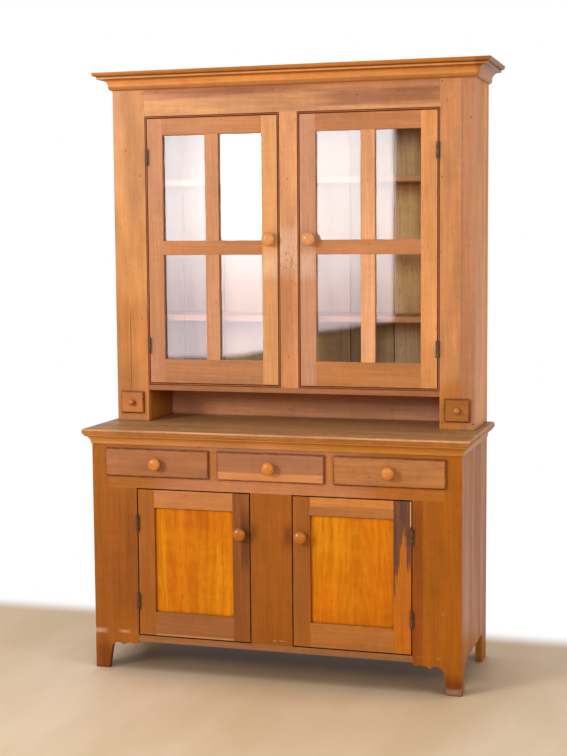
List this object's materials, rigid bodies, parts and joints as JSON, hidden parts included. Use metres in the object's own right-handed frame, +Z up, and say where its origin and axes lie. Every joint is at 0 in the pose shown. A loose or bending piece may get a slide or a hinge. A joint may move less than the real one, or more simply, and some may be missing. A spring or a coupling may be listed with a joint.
{
  "type": "china hutch",
  "caption": "Free-standing pine china hutch: a glazed cupboard over an open niche and small drawers, on a deeper base with drawers and panelled doors.",
  "frame": {"origin": "bottom centre of the overall box, on the floor", "axes": "+Z up, -Y out of the front with the doors and drawers, +X to the right of someone who faces the front"},
  "size_m": [1.444, 0.552, 2.134],
  "materials": {
    "case_wood": "satin, worn honey-brown pine",
    "side_wood": "satin, worn pale pine",
    "worktop_wood": "satin, worn and greyed",
    "moulding_wood": "satin",
    "door_wood": "satin",
    "panel_wood": "satin, bright grain",
    "drawer_wood": "satin",
    "inside_wood": "bare, matt",
    "back_wood": "matt",
    "knob_wood": "satin, turned",
    "hinge_iron": "dark, worn",
    "glass": "clear, slightly wavy"
  },
  "bodies": {
    "carcass": {"base_back_boards": "back_wood", "base_boards": "inside_wood", "base_inner_stiles": "case_wood", "base_rails": "case_wood", "drawer_runners": "inside_wood", "worktop": "worktop_wood", "cove_mouldings": "moulding_wood", "hutch_back_boards": "back_wood", "hutch_boards": "inside_wood", "hutch_center_stile": "case_wood", "hutch_rails": "case_wood", "opening_beads": "moulding_wood", "cornice_mouldings": "moulding_wood", "small_drawer_housings": "inside_wood", "case_hinge_leaves": "hinge_iron", "base_stile_left": "case_wood", "base_side_left": "side_wood", "hutch_stile_left": "case_wood", "hutch_side_left": "side_wood", "base_stile_right": "case_wood", "base_side_right": "side_wood", "hutch_stile_right": "case_wood", "hutch_side_right": "side_wood"},
    "glass_door_left": {"glass_door_left_stiles": "door_wood", "glass_door_left_rails": "door_wood", "glass_door_left_muntins": "door_wood", "glass_door_left_panes": "glass", "glass_door_left_hinge_leaves": "hinge_iron"},
    "glass_door_left_catch": {"glass_door_left_latch": "knob_wood"},
    "panel_door_left": {"panel_door_left_stiles": "door_wood", "panel_door_left_rails": "door_wood", "panel_door_left_panel": "panel_wood", "panel_door_left_hinge_leaves": "hinge_iron"},
    "panel_door_left_catch": {"panel_door_left_latch": "knob_wood"},
    "glass_door_right": {"glass_door_right_stiles": "door_wood", "glass_door_right_rails": "door_wood", "glass_door_right_muntins": "door_wood", "glass_door_right_panes": "glass", "glass_door_right_hinge_leaves": "hinge_iron"},
    "glass_door_right_catch": {"glass_door_right_latch": "knob_wood"},
    "panel_door_right": {"panel_door_right_stiles": "door_wood", "panel_door_right_rails": "door_wood", "panel_door_right_panel": "panel_wood", "panel_door_right_hinge_leaves": "hinge_iron"},
    "panel_door_right_catch": {"panel_door_right_latch": "knob_wood"},
    "drawer_left": {"drawer_left_front": "drawer_wood", "drawer_left_box": "inside_wood", "drawer_left_knob": "knob_wood"},
    "drawer_center": {"drawer_center_front": "drawer_wood", "drawer_center_box": "inside_wood", "drawer_center_knob": "knob_wood"},
    "drawer_right": {"drawer_right_front": "drawer_wood", "drawer_right_box": "inside_wood", "drawer_right_knob": "knob_wood"},
    "small_drawer_left": {"small_drawer_left_front": "drawer_wood", "small_drawer_left_box": "inside_wood", "small_drawer_left_knob": "knob_wood"},
    "small_drawer_right": {"small_drawer_right_front": "drawer_wood", "small_drawer_right_box": "inside_wood", "small_drawer_right_knob": "knob_wood"}
  },
  "joints": [
    {"name": "glass_door_left_hinge", "type": "hinge", "parent": "carcass", "child": "glass_door_left", "pos_m": [-0.53375, 0.0005, 1.4895], "axis": [0, 0, -1], "range_deg": [0, 170]},
    {"name": "glass_door_left_turn_button", "type": "hinge", "parent": "glass_door_left", "child": "glass_door_left_catch", "pos_m": [-0.07, 0.006, 1.53225], "axis": [0, -1, 0], "range_deg": [0, 90]},
    {"name": "panel_door_left_hinge", "type": "hinge", "parent": "carcass", "child": "panel_door_left", "pos_m": [-0.49475, -0.2375, 0.393], "axis": [0, 0, -1], "range_deg": [0, 170]},
    {"name": "panel_door_left_turn_button", "type": "hinge", "parent": "panel_door_left", "child": "panel_door_left_catch", "pos_m": [-0.1095, -0.232, 0.515], "axis": [0, -1, 0], "range_deg": [0, 90]},
    {"name": "glass_door_right_hinge", "type": "hinge", "parent": "carcass", "child": "glass_door_right", "pos_m": [0.53375, 0.0005, 1.4895], "axis": [0, 0, 1], "range_deg": [0, 170]},
    {"name": "glass_door_right_turn_button", "type": "hinge", "parent": "glass_door_right", "child": "glass_door_right_catch", "pos_m": [0.077, 0.006, 1.53225], "axis": [0, 1, 0], "range_deg": [0, 90]},
    {"name": "panel_door_right_hinge", "type": "hinge", "parent": "carcass", "child": "panel_door_right", "pos_m": [0.49475, -0.2375, 0.393], "axis": [0, 0, 1], "range_deg": [0, 170]},
    {"name": "panel_door_right_turn_button", "type": "hinge", "parent": "panel_door_right", "child": "panel_door_right_catch", "pos_m": [0.1095, -0.232, 0.515], "axis": [0, 1, 0], "range_deg": [0, 90]},
    {"name": "drawer_left_slide", "type": "slide", "parent": "carcass", "child": "drawer_left", "axis": [0, -1, 0], "range_m": [0, 0.35]},
    {"name": "drawer_center_slide", "type": "slide", "parent": "carcass", "child": "drawer_center", "axis": [0, -1, 0], "range_m": [0, 0.35]},
    {"name": "drawer_right_slide", "type": "slide", "parent": "carcass", "child": "drawer_right", "axis": [0, -1, 0], "range_m": [0, 0.35]},
    {"name": "small_drawer_left_slide", "type": "slide", "parent": "carcass", "child": "small_drawer_left", "axis": [0, -1, 0], "range_m": [0, 0.13]},
    {"name": "small_drawer_right_slide", "type": "slide", "parent": "carcass", "child": "small_drawer_right", "axis": [0, -1, 0], "range_m": [0, 0.13]}
  ]
}
